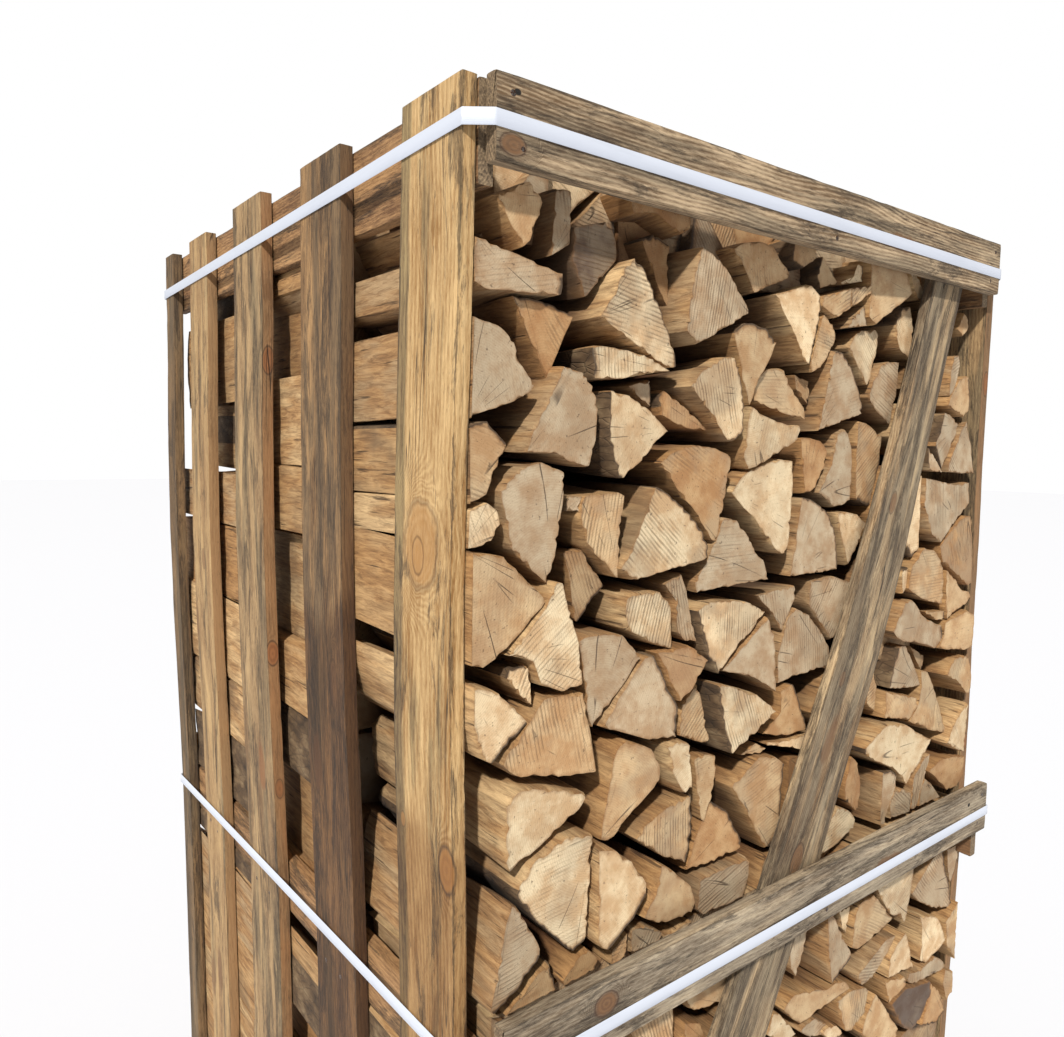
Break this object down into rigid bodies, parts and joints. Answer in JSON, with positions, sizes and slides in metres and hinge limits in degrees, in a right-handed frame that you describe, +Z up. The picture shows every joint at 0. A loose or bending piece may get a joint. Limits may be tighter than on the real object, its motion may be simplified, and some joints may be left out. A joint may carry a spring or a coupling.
{
  "type": "pallet of firewood",
  "caption": "Tall open slatted crate on a pallet base, packed with rows of split beech logs lying front to back, with a diagonal brace and plastic straps round it.",
  "frame": {"origin": "middle of the crate's footprint, on the ground under its bearers", "axes": "+Z up; -Y is the front, with log ends and the diagonal brace; +X is the right side seen from the front"},
  "size_m": [1.0593, 1.0807, 1.9585],
  "materials": {
    "weathered_boards": "rough sawn, weathered grey",
    "brown_timber": "rough sawn, reddish brown",
    "split_beech": "split faces and saw-cut ends, dry",
    "strapping": "smooth white band"
  },
  "bodies": {
    "root": {"deck_board_1": "weathered_boards", "deck_board_2": "weathered_boards", "deck_board_3": "weathered_boards", "deck_board_4": "weathered_boards", "deck_board_5": "weathered_boards", "deck_board_6": "weathered_boards", "deck_board_7": "weathered_boards", "left_slat_1": "weathered_boards", "left_slat_2": "weathered_boards", "left_slat_3": "weathered_boards", "left_slat_4": "weathered_boards", "left_slat_5": "weathered_boards", "right_slat_1": "weathered_boards", "right_slat_2": "weathered_boards", "right_slat_3": "weathered_boards", "right_slat_4": "weathered_boards", "right_slat_5": "weathered_boards", "front_top_rail": "weathered_boards", "front_middle_rail": "weathered_boards", "front_bottom_rail": "weathered_boards", "back_top_rail": "weathered_boards", "back_middle_rail": "weathered_boards", "back_bottom_rail": "weathered_boards", "front_brace": "weathered_boards", "back_brace": "weathered_boards", "bearer_left": "brown_timber", "bearer_middle": "brown_timber", "bearer_right": "brown_timber", "left_top_rail": "brown_timber", "left_middle_rail": "brown_timber", "left_bottom_rail": "brown_timber", "right_top_rail": "brown_timber", "right_middle_rail": "brown_timber", "right_bottom_rail": "brown_timber", "split_log_1": "split_beech", "split_log_2": "split_beech", "split_log_3": "split_beech", "split_log_4": "split_beech", "split_log_5": "split_beech", "split_log_6": "split_beech", "split_log_7": "split_beech", "split_log_8": "split_beech", "split_log_9": "split_beech", "split_log_10": "split_beech", "split_log_11": "split_beech", "split_log_12": "split_beech", "split_log_13": "split_beech", "split_log_14": "split_beech", "split_log_15": "split_beech", "split_log_16": "split_beech", "split_log_17": "split_beech", "split_log_18": "split_beech", "split_log_19": "split_beech", "split_log_20": "split_beech", "split_log_21": "split_beech", "front_row_logs": "split_beech", "middle_row_logs": "split_beech", "back_row_logs": "split_beech", "upper_strap": "strapping", "lower_strap": "strapping"}
  },
  "joints": []
}
